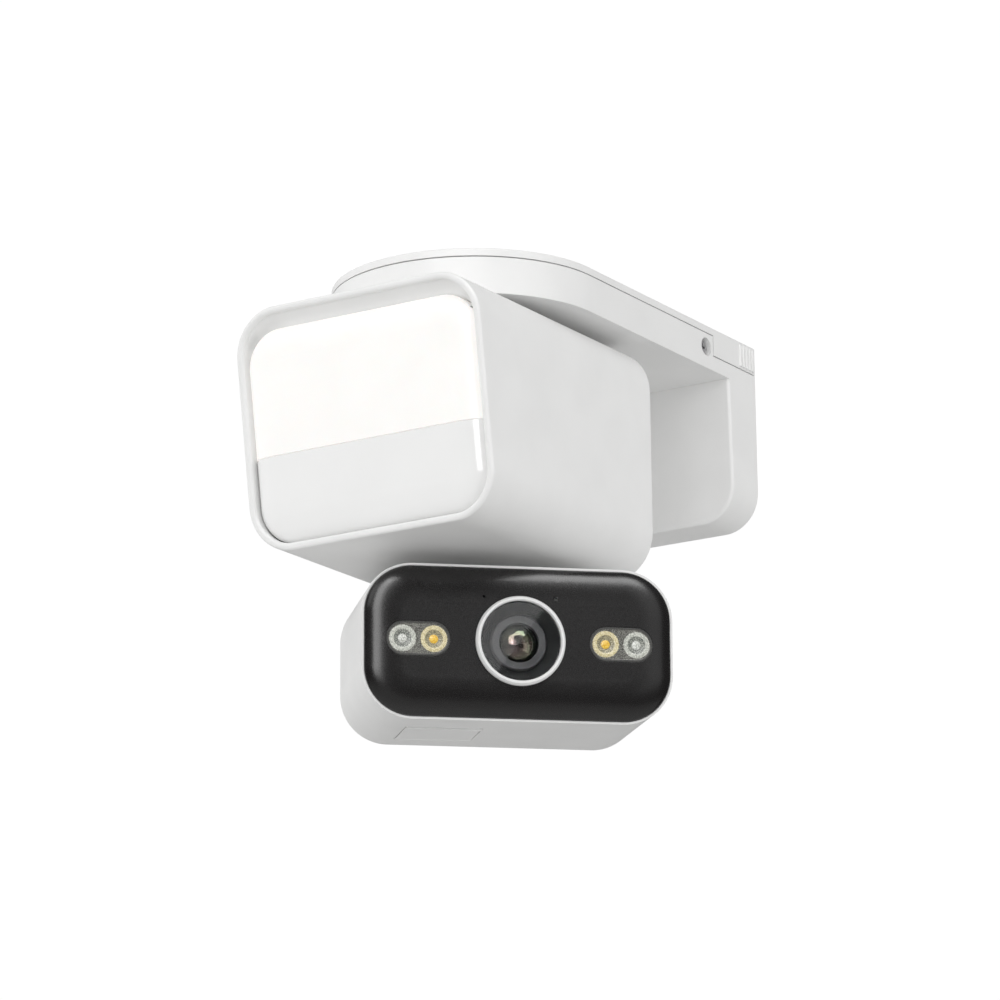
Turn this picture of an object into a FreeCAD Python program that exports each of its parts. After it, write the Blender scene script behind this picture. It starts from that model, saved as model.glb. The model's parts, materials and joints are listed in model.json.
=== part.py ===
import FreeCAD, Part
import math
import os

import Sketcher

V = FreeCAD.Vector
doc = FreeCAD.newDocument("floodlight_camera")

# Sizes in millimetres and degrees. X runs across the front (right as seen by a viewer who faces
# the wall), Y into the wall, Z up. Heights below are counted from the top of the bracket; the
# ROW placement then lifts every sub-part so that the origin is the middle of the wall screws.
SIZES = (
    ("arm_wide", 100.0, "width of the bracket arm and leg"),
    ("arm_deep", 118.5, "wall to the centre of the round arm end"),
    ("arm_low", 16.7, "underside of the arm, below the top"),
    ("cover_low", 3.16, "seam between top cover and arm"),
    ("skirt_low", 10.86, "lower edge of the top cover near the wall"),
    ("skirt_deep", 30.9, "length of the deep part of the top cover"),
    ("leg_top", 20.0, "depth of the leg under the arm"),
    ("leg_foot", 18.0, "depth of the leg at its foot"),
    ("leg_low", 70.1, "foot of the leg"),
    ("leg_corner", 14.0, "corner radius of the leg"),
    ("bracket_wall", 2.2, "wall of the bracket mouldings"),
    ("seam", 0.4, "gap shown as a seam"),
    ("screw_y", 36.1, "side locking screw, from the wall"),
    ("screw_z", 8.5, "side locking screw, below the top"),
    ("light_wide", 101.1, "width of the floodlight body"),
    ("light_high", 85.6, "height of the floodlight body"),
    ("light_mid", 62.3, "middle of the floodlight body, below the top"),
    ("light_corner", 17.0, "corner radius of the floodlight body"),
    ("light_back", 78.0, "rear face of the floodlight body, from the wall"),
    ("light_face", 189.2, "middle of the sloped front rim, from the wall"),
    ("light_wall", 2.2, "wall of the floodlight body"),
    ("mouth", 95.5, "width of the opening inside the rim"),
    ("pillow_wide", 95.0, "width of the diffuser and sensor panel"),
    ("pillow_top", 26.7, "top of the diffuser, below the top"),
    ("pillow_foot", 102.1, "foot of the sensor panel, below the top"),
    ("pillow_seam", 71.7, "joint between diffuser and sensor panel"),
    ("pillow_skin", 2.3, "wall of the diffuser and sensor panel"),
    ("pillow_rise", 4.2, "rounded front of the diffuser, edge to middle"),
    ("pillow_reach", 12.0, "width of the rounding of the diffuser"),
    ("spindle", 15.0, "radius of the swivel spindle and of the pan tube"),
    ("run", 0.06, "radial running clearance of the plain bearings"),
    ("pan_y", 105.5, "pan axis, from the wall"),
    ("tilt_z", 137.0, "tilt axis, below the top"),
    ("neck_wide", 24.0, "width of the neck and of its drum"),
    ("drum", 15.0, "radius of the drum at the tilt axis"),
    ("head_wide", 109.4, "width of the camera head at its front"),
    ("head_high", 54.8, "height of the camera head at its front"),
    ("head_corner", 17.9, "corner radius of the camera head"),
    ("head_face", 45.0, "tilt axis to the front edge of the head shell"),
    ("head_back", 18.5, "tilt axis to the rear of the head shell"),
    ("head_wall", 2.2, "wall of the head shell"),
    ("head_round", 9.0, "rounding of the rear edge of the head"),
    ("rim", 0.9, "visible white edge round the black panel"),
    ("panel_rise", 4.4, "black panel in front of the shell edge"),
    ("panel_reach", 14.0, "width of the rounding of the black panel"),
    ("panel_skin", 2.2, "thickness of the black panel"),
    ("ring_out", 15.7, "outer radius of the white lens ring"),
    ("ring_in", 14.1, "inner radius of the white lens ring"),
    ("barrel", 9.8, "radius of the lens barrel"),
    ("dome", 6.9, "radius of the front lens"),
    ("spot_x", 35.6, "middle of a spotlight window, from the lens"),
    ("spot_wide", 22.4, "width of a spotlight window"),
    ("spot_high", 12.2, "height of a spotlight window"),
    ("spot_led", 5.45, "spotlight chip, from the middle of its window"),
    ("dot_x", 12.6, "microphone hole and status light, from the lens"),
    ("dot_z", 15.4, "microphone hole and status light, above the lens"),
    ("door_left", -36.3, "left edge of the card door"),
    ("door_right", -9.6, "right edge of the card door"),
    ("door_front", -28.0, "front edge of the card door"),
    ("door_rear", -2.5, "rear edge of the card door"),
    ("cell_radius", 9.1, "battery cell radius"),
    ("cell_long", 65.0, "battery cell length"),
    ("tooth", 1.0, "gear module"),
    ("wall_holes", 40.0, "middle of the wall screw holes, below the top"),
)
CROWN_STEPS = (0.0, 0.03, 0.10, 0.22, 0.40, 0.62, 0.82, 1.0)
LEAN = 8.22     # slope of the floodlight rim, top forward
YAW = 42.59     # pan angle of the head at rest, towards +X
PITCH = 2.37    # tilt angle of the head at rest, downwards

sheet = doc.addObject("Spreadsheet::Sheet", "Sizes")
for row, (alias, value, note) in enumerate(SIZES, 1):
    sheet.set("A%d" % row, alias)
    sheet.set("B%d" % row, repr(value))
    sheet.set("C%d" % row, note)
    sheet.setAlias("B%d" % row, alias)
doc.recompute()


class Size:
    """A length that keeps the spreadsheet expression it was made from."""

    def __init__(self, value, text):
        self.value = value
        self.text = text

    def __add__(self, other):
        return join(self, other, "+", self.value + size(other).value)

    def __sub__(self, other):
        return join(self, other, "-", self.value - size(other).value)

    def __mul__(self, other):
        return join(self, other, "*", self.value * size(other).value)

    def __truediv__(self, other):
        return join(self, other, "/", self.value / size(other).value)

    def __radd__(self, other):
        return size(other) + self

    def __rsub__(self, other):
        return size(other) - self

    def __rmul__(self, other):
        return size(other) * self

    def __neg__(self):
        return size(0.0) - self


def size(number):
    if isinstance(number, Size):
        return number
    return Size(float(number), "(%s)" % repr(round(float(number), 6)))


def join(left, right, sign, value):
    return Size(value, "(%s %s %s)" % (size(left).text, sign, size(right).text))


class Named:
    pass


d = Named()
for alias, value, note in SIZES:
    setattr(d, alias, Size(value, "Sizes." + alias))

ROW = FreeCAD.Placement(V(0, 0, d.wall_holes.value), FreeCAD.Rotation())


def shifted(frame, x, y, z, axis=V(0, 0, 1), angle=0.0):
    return frame.multiply(FreeCAD.Placement(V(x, y, z), FreeCAD.Rotation(axis, angle)))


SWIVEL = shifted(ROW, 0, -d.arm_deep.value, 0)
PAN = shifted(ROW, 0, -d.pan_y.value, -d.tilt_z.value, V(0, 0, 1), YAW)
HEAD = shifted(PAN, 0, 0, 0, V(1, 0, 0), PITCH)
nodes = []


def bind(item, path, number):
    """Give a property its value, tied to the spreadsheet when it comes from there."""
    if "Sizes." in size(number).text:
        item.setExpression(path, size(number).text)


# ---------------------------------------------------------------- sketches
ORIGIN_ROLE = {"XY": "XY_Plane", "XZ": "XZ_Plane", "YZ": "YZ_Plane"}
NORMAL = {"XY": 1, "XZ": -1, "YZ": 1}


def body(node, frame=ROW):
    part = doc.addObject("PartDesign::Body", node)
    part.Label = node
    part.Placement = frame
    nodes.append(part)
    return part


def sketch_on(part, plane, height):
    drawing = part.newObject("Sketcher::SketchObject", part.Name + "_sketch")
    origin = [f for f in part.Origin.OriginFeatures if f.Role == ORIGIN_ROLE[plane]][0]
    drawing.AttachmentSupport = [(origin, "")]
    drawing.MapMode = "FlatFace"
    height = size(height) * NORMAL[plane]
    drawing.AttachmentOffset = FreeCAD.Placement(V(0, 0, height.value), FreeCAD.Rotation())
    bind(drawing, "AttachmentOffset.Base.z", height)
    return drawing


def dimension(drawing, kind, *refs):
    number = size(refs[-1])
    index = drawing.addConstraint(Sketcher.Constraint(kind, *refs[:-1], number.value))
    bind(drawing, "Constraints[%d]" % index, number)


def pin_point(drawing, index, end, across, up):
    dimension(drawing, "DistanceX", -1, 1, index, end, across)
    dimension(drawing, "DistanceY", -1, 1, index, end, up)


def circle(across, up, radius):
    def draw(drawing):
        centre = V(size(across).value, size(up).value, 0)
        index = drawing.addGeometry(Part.Circle(centre, V(0, 0, 1), size(radius).value))
        pin_point(drawing, index, 3, across, up)
        dimension(drawing, "Radius", index, radius)
    return draw


def polygon(points):
    def draw(drawing):
        spots = [V(size(a).value, size(b).value, 0) for a, b in points]
        count = len(spots)
        first = drawing.GeometryCount
        for i in range(count):
            drawing.addGeometry(Part.LineSegment(spots[i], spots[(i + 1) % count]))
        for i in range(count):
            following = first + (i + 1) % count
            drawing.addConstraint(Sketcher.Constraint("Coincident", first + i, 2, following, 1))
        for i, (across, up) in enumerate(points):
            pin_point(drawing, first + i, 1, across, up)
    return draw


def rectangle(left, right, low, high):
    return polygon(((left, low), (right, low), (right, high), (left, high)))


def round_box(left, right, low, high, radius):
    """A rectangle with four equal round corners."""
    def draw(drawing):
        x0, x1 = size(left).value, size(right).value
        y0, y1 = size(low).value, size(high).value
        r = size(radius).value
        first = drawing.GeometryCount
        sides = (((x0 + r, y0), (x1 - r, y0)), ((x1, y0 + r), (x1, y1 - r)),
                 ((x1 - r, y1), (x0 + r, y1)), ((x0, y1 - r), (x0, y0 + r)))
        for start, end in sides:
            drawing.addGeometry(Part.LineSegment(V(*start, 0), V(*end, 0)))
        corners = ((x1 - r, y0 + r, -90), (x1 - r, y1 - r, 0), (x0 + r, y1 - r, 90), (x0 + r, y0 + r, 180))
        for cx, cy, start in corners:
            ring = Part.Circle(V(cx, cy, 0), V(0, 0, 1), r)
            drawing.addGeometry(Part.ArcOfCircle(ring, math.radians(start), math.radians(start + 90)))
        for i in range(4):
            arc = first + 4 + i
            drawing.addConstraint(Sketcher.Constraint("Tangent", first + i, 2, arc, 1))
            drawing.addConstraint(Sketcher.Constraint("Tangent", arc, 2, first + (i + 1) % 4, 1))
        drawing.addConstraint(Sketcher.Constraint("Horizontal", first))
        drawing.addConstraint(Sketcher.Constraint("Vertical", first + 1))
        drawing.addConstraint(Sketcher.Constraint("Horizontal", first + 2))
        drawing.addConstraint(Sketcher.Constraint("Vertical", first + 3))
        for i in (5, 6, 7):
            drawing.addConstraint(Sketcher.Constraint("Equal", first + 4, first + i))
        dimension(drawing, "Radius", first + 4, radius)
        dimension(drawing, "DistanceX", -1, 1, first + 3, 1, left)
        dimension(drawing, "DistanceX", -1, 1, first + 1, 1, right)
        dimension(drawing, "DistanceY", -1, 1, first, 1, low)
        dimension(drawing, "DistanceY", -1, 1, first + 2, 1, high)
    return draw


# ---------------------------------------------------------------- features
def add(part, plane, low, high, *shapes, taper=0.0):
    """Pad the shapes from low to high along the axis square to the plane."""
    start = high if plane == "XZ" else low
    drawing = sketch_on(part, plane, start)
    for draw in shapes:
        draw(drawing)
    pad = part.newObject("PartDesign::Pad", part.Name + "_pad")
    pad.Profile = drawing
    pad.Length = (size(high) - size(low)).value
    bind(pad, "Length", size(high) - size(low))
    if taper:
        pad.TaperAngle = taper
    drawing.Visibility = False
    doc.recompute()
    return pad


def cut(part, plane, low, high, *shapes):
    """Pocket the shapes from low to high along the axis square to the plane."""
    before = part.Shape.Volume
    start = low if plane == "XZ" else high
    drawing = sketch_on(part, plane, start)
    for draw in shapes:
        draw(drawing)
    pocket = part.newObject("PartDesign::Pocket", part.Name + "_pocket")
    pocket.Profile = drawing
    pocket.Length = (size(high) - size(low)).value
    bind(pocket, "Length", size(high) - size(low))
    drawing.Visibility = False
    doc.recompute()
    if part.Shape.Volume > before - 0.01:
        raise SystemExit("a pocket of %s removes nothing" % part.Label)
    return pocket


def loft(part, drawings, kind, ruled=False):
    """Join the drawings into a solid, or take that solid away."""
    solid = part.newObject("PartDesign::" + kind, part.Name + "_loft")
    solid.Profile = drawings[0]
    solid.Sections = drawings[1:]
    solid.Ruled = ruled
    for drawing in drawings:
        drawing.Visibility = False
    doc.recompute()
    return solid


def crown(place_sketch, outline, rise, reach):
    """Drawings of a pillow: each is inset further from the outline and stands further forward."""
    left, right, low, high, radius = (size(number) for number in outline)
    drawings = []
    for step in CROWN_STEPS:
        inset = reach * step
        forward = rise * math.sqrt(1.0 - (1.0 - step) ** 2.6)
        drawing = place_sketch(forward)
        round_box(left + inset, right - inset, low + inset, high - inset, radius - inset)(drawing)
        drawings.append(drawing)
    return drawings


def turn(part, profile):
    """Revolve a profile of (radius, height) points about the Z axis of the body."""
    drawing = sketch_on(part, "XZ", 0.0)
    polygon(profile)(drawing)
    solid = part.newObject("PartDesign::Revolution", part.Name + "_turn")
    solid.Profile = drawing
    solid.ReferenceAxis = (drawing, ["V_Axis"])
    solid.Angle = 360.0
    drawing.Visibility = False
    doc.recompute()
    return solid


def soften(part, radius, wanted, kind="Fillet"):
    """Round or chamfer the edges of the body picked by wanted."""
    doc.recompute()
    base = part.Tip
    names = ["Edge%d" % (i + 1) for i, edge in enumerate(base.Shape.Edges) if wanted(edge)]
    if not names:
        raise SystemExit("no edge found on %s" % part.Label)
    feature = part.newObject("PartDesign::" + kind, part.Name + "_" + kind.lower())
    feature.Base = (base, names)
    path = "Radius" if kind == "Fillet" else "Size"
    setattr(feature, path, size(radius).value)
    bind(feature, path, radius)
    doc.recompute()
    return feature


def around(part, feature, count, axis="Z_Axis"):
    """Repeat a feature round an axis of the body."""
    pattern = part.newObject("PartDesign::PolarPattern", part.Name + "_pattern")
    pattern.Originals = [feature]
    pattern.Axis = ([f for f in part.Origin.OriginFeatures if f.Role == axis][0], [""])
    pattern.Angle = 360.0
    pattern.Occurrences = count
    part.Tip = pattern
    doc.recompute()
    return pattern


# ---------------------------------------------------------------- primitives
TURN = {"z": FreeCAD.Rotation(), "x": FreeCAD.Rotation(V(0, 1, 0), 90), "y": FreeCAD.Rotation(V(1, 0, 0),
                                                                                              -90)}
counter = {"n": 0}


def fresh(kind):
    counter["n"] += 1
    return doc.addObject("Part::" + kind, "p%03d" % counter["n"])


def place(item, x, y, z, rotation=None):
    spots = (size(x), size(y), size(z))
    item.Placement = FreeCAD.Placement(V(*(s.value for s in spots)), rotation or FreeCAD.Rotation())
    for letter, spot in zip("xyz", spots):
        bind(item, ".Placement.Base." + letter, spot)


def sized(item, **lengths):
    for name, number in lengths.items():
        setattr(item, name, size(number).value)
        bind(item, name, number)
    return item


def block(x, y, z):
    item = fresh("Box")
    spans = [size(b) - size(a) for a, b in (x, y, z)]
    sized(item, Length=spans[0], Width=spans[1], Height=spans[2])
    place(item, x[0], y[0], z[0])
    return item


def along(item, axis, low, side, other):
    spot = {"x": (low, side, other), "y": (side, low, other), "z": (side, other, low)}[axis]
    place(item, *spot, TURN[axis])
    return item


def rod(axis, radius, low, high, side=0.0, other=0.0):
    item = sized(fresh("Cylinder"), Radius=radius, Height=size(high) - size(low))
    return along(item, axis, low, side, other)


def taper(axis, radius1, radius2, low, high, side=0.0, other=0.0):
    item = sized(fresh("Cone"), Radius1=radius1, Radius2=radius2, Height=size(high) - size(low))
    return along(item, axis, low, side, other)


def ball(radius, x, y, z):
    item = sized(fresh("Sphere"), Radius=radius)
    place(item, x, y, z)
    return item


def united(*items):
    item = fresh("MultiFuse")
    item.Shapes = list(items)
    item.Refine = True
    return item


def minus(base, *tools):
    item = fresh("Cut")
    item.Base = base
    item.Tool = tools[0] if len(tools) == 1 else united(*tools)
    item.Refine = True
    return item


def shared(*items):
    item = fresh("MultiCommon")
    item.Shapes = list(items)
    return item


def group(*items):
    item = fresh("Compound")
    item.Links = list(items)
    return item


def node(name, item, frame=ROW):
    item.Label = name
    item.Placement = frame
    nodes.append(item)
    return item


def screw(axis, way, head, shank_long, side, other, head_r=2.75, head_high=1.7, shank_r=1.4):
    """A pan-head screw. The head face is at head; the shank points along way (+1 or -1)."""
    low, high = sorted((head, head + way * head_high))
    tip_low, tip_high = sorted((head + way * head_high, head + way * (head_high + shank_long)))
    solid = united(rod(axis, head_r, low, high, side, other), rod(axis, shank_r, tip_low, tip_high, side,
                                                                  other))
    slot_low, slot_high = sorted((head - way * 0.5, head + way * 1.0))
    half = head_r * 0.62
    spans = []
    for long_way, thin_way in ((half, 0.35), (0.35, half)):
        pair = ((side - long_way, side + long_way), (other - thin_way, other + thin_way))
        span = {"x": ((slot_low, slot_high),) + pair, "y": (pair[0], (slot_low, slot_high), pair[1]),
                "z": pair + ((slot_low, slot_high),)}[axis]
        spans.append(block(*span))
    return minus(solid, *spans)


# ================================================================ wall bracket
def wall_plate():
    part = body("wall_plate")
    reach = d.arm_wide / 2 - 6.9
    add(part, "XZ", -2.5, 0.0, round_box(-46.5, 46.5, -66.5, -5.0, 9.0))
    for side in (-1, 1):
        inner, outer = sorted((side * (reach.value - 0.1), side * (reach.value + 2.5)))
        add(part, "YZ", inner, outer, rectangle(-42.0, -1.0, -13.0, -5.0))
        cut(part, "YZ", inner - 0.5, outer + 0.5, circle(-d.screw_y, -d.screw_z, 1.5))
    holes = [circle(x, z, 2.3) for x in (-30.0, 30.0) for z in (-25.0, -55.0)]
    cut(part, "XZ", -3.0, 0.5, *holes)


def bracket_shell():
    part = body("bracket_shell")
    half = d.arm_wide / 2
    top = -(d.cover_low + d.seam / 2)
    wall = d.bracket_wall
    inner = half - wall
    outline = ((0.0, top), (-d.arm_deep, top), (-d.arm_deep, -d.arm_low), (-d.leg_top, -d.arm_low),
               (-d.leg_foot, -d.leg_low), (0.0, -d.leg_low))
    add(part, "YZ", -half, half, polygon(outline))
    add(part, "XY", -d.arm_low, top, circle(0.0, -d.arm_deep, half))
    foot = d.leg_low.value
    soften(part, d.leg_corner, lambda e: e.Length < 25 and abs(e.CenterOfMass.z + foot) < 0.1
           and abs(abs(e.CenterOfMass.x) - 50) < 0.1)
    soften(part, 1.2,
           lambda e: e.CenterOfMass.y < -17.5 and e.BoundBox.ZMax < -16.8 and e.BoundBox.YMin > -21)
    rebate = -(d.skirt_low + d.seam / 2)
    cut(part, "YZ", -half - 1, half + 1, rectangle(-(d.skirt_deep + d.seam / 2), 1.0, rebate, 0.0))
    floor = -d.arm_low + wall
    cut(part, "XY", floor, 0.0, rectangle(-inner, inner, -d.arm_deep, 1.0))
    cut(part, "XY", floor, 0.0, circle(0.0, -d.arm_deep, inner))
    cut(part, "XZ", -d.leg_foot + wall, 1.0, round_box(-inner, inner, -d.leg_low + wall, 5.0,
                                                       d.leg_corner - wall))
    for side in (-1, 1):
        low, high = sorted((side * 45.75, side * 48.4))
        add(part, "YZ", low, high, circle(-d.screw_y, -d.screw_z, 4.8))
        low, high = sorted((side * 47.0, side * 51.0))
        cut(part, "YZ", low, high, circle(-d.screw_y, -d.screw_z, 3.4))
        low, high = sorted((side * 45.0, side * 49.0))
        cut(part, "YZ", low, high, circle(-d.screw_y, -d.screw_z, 1.6))
    cut(part, "XY", -17.5, -14.0, circle(0.0, -d.arm_deep, d.spindle + 2.9))


def top_cover():
    part = body("top_cover")
    half = d.arm_wide / 2
    under = -(d.cover_low - d.seam / 2)
    add(part, "XY", under, 0.0, rectangle(-half, half, -d.arm_deep, 0.0))
    add(part, "XY", under, 0.0, circle(0.0, -d.arm_deep, half))
    soften(part, 0.8, lambda e: abs(e.BoundBox.ZMin) < 0.01 and e.CenterOfMass.y < -1)
    skirt = -(d.skirt_low - d.seam / 2)
    long = d.skirt_deep - d.seam / 2
    add(part, "XY", skirt, under + 0.2, rectangle(-half, -half + 2.2, -long, 0.0),
        rectangle(half - 2.2, half, -long, 0.0))
    add(part, "XY", -6.0, under + 0.2, rectangle(-47.3, -46.0, -116.0, -46.0), rectangle(46.0, 47.3,
                                                                                         -116.0, -46.0))
    add(part, "XY", -6.0, under + 0.2, rectangle(-30.0, 30.0, -46.0, -44.8))
    ridges = [circle(side * 49.95, -1.8 - 2.25 * i, 0.7) for side in (-1, 1) for i in range(5)]
    add(part, "XY", -9.8, -1.5, *ridges)


def side_screws():
    pair = [screw("x", -side, side * 48.4, 4.5, -d.screw_y.value, -d.screw_z.value, 2.7, 1.3, 1.42)
            for side in (-1, 1)]
    node("side_screws", group(*pair))


def swivel_bush():
    part = body("swivel_bush", SWIVEL)
    inner = d.spindle + d.run
    outer = d.spindle + 2.85
    turn(part, ((inner, -d.arm_low), (outer, -d.arm_low), (outer, -14.45), (21.5, -14.45), (21.5, -13.0),
                (inner, -13.0)))


# ================================================================ floodlight body
def face_y(z, behind=0.0):
    """Depth of the sloped front plane at height z, moved back by behind."""
    slope = math.tan(math.radians(LEAN))
    return -d.light_face.value - (z + d.light_mid.value) * slope + behind / math.cos(math.radians(LEAN))


def slab_before(behind):
    """Everything in front of the sloped plane, drawn in the YZ plane."""
    return polygon(((face_y(0.0, behind), 0.0), (-230.0, 0.0), (-230.0, -125.0), (face_y(-125.0, behind),
                                                                                  -125.0)))


# Roof of the mouth of the floodlight body, from the rim inwards: depth, height, half width.
COVE = ((193.2, 21.9, 39.3), (191.4, 23.1, 41.7), (190.0, 24.5, 43.6), (189.4, 26.45, 45.5),
        (179.4, 26.45, 45.5))


def light_shell():
    part = body("light_shell")
    half = d.light_wide / 2
    top = -d.light_mid + d.light_high / 2
    foot = -d.light_mid - d.light_high / 2
    wall = d.light_wall
    add(part, "XZ", -215.0, -d.light_back, round_box(-half, half, foot, top, d.light_corner))
    soften(part, 1.2, lambda e: abs(e.CenterOfMass.y + 78) < 0.1)
    cut(part, "YZ", -60.0, 60.0, slab_before(0.0))
    cavity = round_box(-half + wall, half - wall, foot + wall, top - wall, d.light_corner - wall)
    cut(part, "XZ", -179.5, -d.light_back - wall, cavity)
    cut(part, "XZ", -216.0, -179.4, round_box(-d.mouth / 2, d.mouth / 2, -102.4, -22.05, 14.2))
    soften(part, 1.1, lambda e: abs(e.CenterOfMass.y - face_y(e.CenterOfMass.z)) < 0.02)
    roof = []
    for depth, ceiling, wide in COVE:
        drawing = sketch_on(part, "XZ", -depth)
        polygon(((-33.5, -21.0), (33.5, -21.0), (38.5, -21.6), (wide, -ceiling),
                 (-wide, -ceiling), (-38.5, -21.6)))(drawing)
        roof.append(drawing)
    loft(part, roof, "AdditiveLoft", ruled=True)
    add(part, "XY", top - 0.5, -17.1, circle(0.0, -d.arm_deep, 24.0))
    cut(part, "XY", -24.0, -16.0, circle(0.0, -d.arm_deep, d.spindle + 0.3))
    spots = [(20.0 * math.cos(a), -118.5 + 20.0 * math.sin(a)) for a in (0.785, 2.356, 3.927, 5.498)]
    cut(part, "XY", -22.0, -18.0, *[circle(x, y, 1.45) for x, y in spots])
    cut(part, "XY", -107.0, -102.0, circle(0.0, -d.pan_y, d.spindle + 0.6))
    add(part, "XY", -103.2, -90.75, circle(29.1, -88.5, 3.2), circle(29.1, -122.5, 3.2))
    cut(part, "XY", -97.0, -90.0, circle(29.1, -88.5, 1.45), circle(29.1, -122.5, 1.45))
    # rear wall: speaker slots, button tunnel and charging socket pocket
    add(part, "XZ", -84.0, -79.5, round_box(18.0, 40.0, -58.0, -24.5, 3.0))
    cut(part, "XZ", -80.0, -77.0, round_box(20.0, 38.0, -38.0, -27.4, 0.3))
    cut(part, "XZ", -84.5, -79.0, round_box(24.4, 33.6, -34.8, -31.2, 1.7))
    cut(part, "XZ", -84.5, -77.0, circle(29.0, -49.0, 5.25))
    cut(part, "XZ", -84.5, -81.5, circle(29.0, -49.0, 6.4))
    slots = [round_box(-30.0, -14.0, z - 0.6, z + 0.6, 0.59) for z in (-50.0, -47.0, -44.0, -41.0, -38.0,
                                                                       -35.0)]
    cut(part, "XZ", -81.0, -77.0, *slots)


def swivel_spindle():
    part = body("swivel_spindle", SWIVEL)
    turn(part, ((11.0, -24.4), (24.0, -24.4), (24.0, -21.8), (d.spindle, -21.8), (d.spindle, -9.2), (11.0,
                                                                                                     -9.2)))
    hole = cut(part, "XY", -25.0, -21.0, circle(14.142, 14.142, 1.6))
    around(part, hole, 4)


def swivel_nut():
    part = body("swivel_nut", SWIVEL)
    turn(part, ((d.spindle + 0.02, -12.7), (20.0, -12.7), (20.0, -9.6), (d.spindle + 0.02, -9.6)))
    notch = cut(part, "XY", -13.0, -9.0, rectangle(18.6, 21.0, -1.5, 1.5))
    around(part, notch, 6)


def body_screws():
    """Swivel flange screws and pan motor screws: all the same M3 size."""
    spots = [(20.0 * math.cos(a), -118.5 + 20.0 * math.sin(a)) for a in (0.785, 2.356, 3.927, 5.498)]
    flange = [screw("z", 1, -26.1, 5.6, x, y) for x, y in spots]
    motor = [screw("z", -1, -87.35, 6.5, 29.1, y) for y in (-88.5, -122.5)]
    node("body_screws", group(*flange, *motor))


def pillow(name, low, high):
    """Upper or lower part of the rounded front that fills the rim."""
    part = body(name)
    half = d.pillow_wide / 2
    stretch = 1.0 / math.cos(math.radians(LEAN))

    def leaning(forward):
        """Sketch on a plane that leans with the rim; forward counts from the pillow's edge."""
        drawing = sketch_on(part, "XZ", 0.0)
        out = d.light_face - d.pillow_rise + forward
        base = V(0, -d.light_mid.value, out.value)
        drawing.AttachmentOffset = FreeCAD.Placement(base, FreeCAD.Rotation(V(1, 0, 0), LEAN))
        bind(drawing, "AttachmentOffset.Base.y", -d.light_mid)
        bind(drawing, "AttachmentOffset.Base.z", out)
        return drawing

    outline = (-half, half, (d.light_mid - d.pillow_foot) * stretch,
               (d.light_mid - d.pillow_top) * stretch, 13.9)
    ends = [leaning(-22.0), leaning(0.0)]
    for drawing in ends:
        round_box(*outline)(drawing)
    loft(part, ends, "AdditiveLoft", ruled=True)
    loft(part, crown(leaning, outline, d.pillow_rise, d.pillow_reach), "AdditiveLoft")
    cut(part, "XZ", -180.0, -140.0, rectangle(-60.0, 60.0, -125.0, 0.0))
    skin = d.pillow_skin
    deep = skin.value + 1.2
    top = -29.0
    foot = -99.8
    front = polygon(((face_y(top, deep), top), (-179.0, top), (-179.0, foot), (face_y(foot, deep), foot)))
    cut(part, "YZ", -half + skin, half - skin, front)
    if high is None:
        cut(part, "YZ", -60.0, 60.0, rectangle(-220.0, -170.0, low, 0.0))
    else:
        cut(part, "YZ", -60.0, 60.0, rectangle(-220.0, -170.0, -125.0, high))
    return part


def diffuser():
    pillow("diffuser", None, -d.pillow_seam + 0.15)


def sensor_panel():
    pillow("sensor_panel", -d.pillow_seam - 0.15, None)


def front_seal():
    part = body("front_seal")
    add(part, "XZ", -179.4, -177.8, round_box(-48.2, 48.2, -102.75, -21.85, 14.6))
    cut(part, "XZ", -180.0, -177.0, round_box(-46.0, 46.0, -100.5, -24.0, 12.5))


def reflector_tray():
    part = body("reflector_tray")
    add(part, "XZ", -184.0, -176.9, round_box(-44.4, 44.4, -71.2, -29.4, 11.0))
    cut(part, "XZ", -185.0, -176.0, round_box(-42.4, 42.4, -69.6, -31.0, 9.5))


def led_board():
    holes = [rod("y", 1.6, -177.0, -174.0, x, z) for x in (-39.0, 39.0) for z in (-66.0, -35.0)]
    node("led_board", minus(block((-43.0, 43.0), (-176.0, -174.4), (-70.0, -30.5)), *holes))


def led_chips():
    chips = [block((x - 1.4, x + 1.4), (-176.8, -176.0), (z - 1.4, z + 1.4))
             for x in (-32.5, -19.5, -6.5, 6.5, 19.5, 32.5) for z in (-62.0, -54.0, -46.0, -38.0)]
    node("led_chips", group(*chips))


def heat_sink():
    fins = [block((x - 0.8, x + 0.8), (-172.5, -164.5), (-69.0, -31.5)) for x in range(-40, 41, 8)]
    node("heat_sink", united(block((-42.5, 42.5), (-174.3, -172.3), (-69.5, -31.0)), *fins))


def motion_sensor():
    can = united(rod("y", 4.5, -181.2, -177.2, 0.0, -88.0), rod("y", 5.0, -178.2, -177.2, 0.0, -88.0),
                 block((-15.0, 15.0), (-177.2, -176.0), (-96.0, -80.0)))
    node("motion_sensor", can)


def battery_cells():
    cells = []
    for z in (-90.8, -71.4, -52.0):
        case = rod("x", d.cell_radius, -d.cell_long / 2, d.cell_long / 2, -151.0, z)
        cells.append(united(case, rod("x", 2.8, d.cell_long / 2 - 0.5, d.cell_long / 2 + 1.0, -151.0, z)))
    node("battery_cells", group(*cells))


def battery_tray():
    tray = minus(block((-36.5, 36.5), (-162.5, -139.9), (-102.0, -40.9)),
                 block((-35.0, 35.0), (-163.0, -141.4), (-100.5, -42.4)))
    node("battery_tray", tray)


def main_board():
    board = block((-42.0, 42.0), (-133.0, -86.0), (-65.6, -64.0))
    chips = [block((-14.0, 4.0), (-118.0, -100.0), (-64.2, -62.6)),
             block((10.0, 22.0), (-116.0, -106.0), (-64.2, -62.8)),
             block((-34.0, -24.0), (-112.0, -96.0), (-64.2, -61.0)),
             block((26.0, 38.0), (-130.0, -122.0), (-64.2, -59.0))]
    node("main_board", united(board, *chips))


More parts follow.
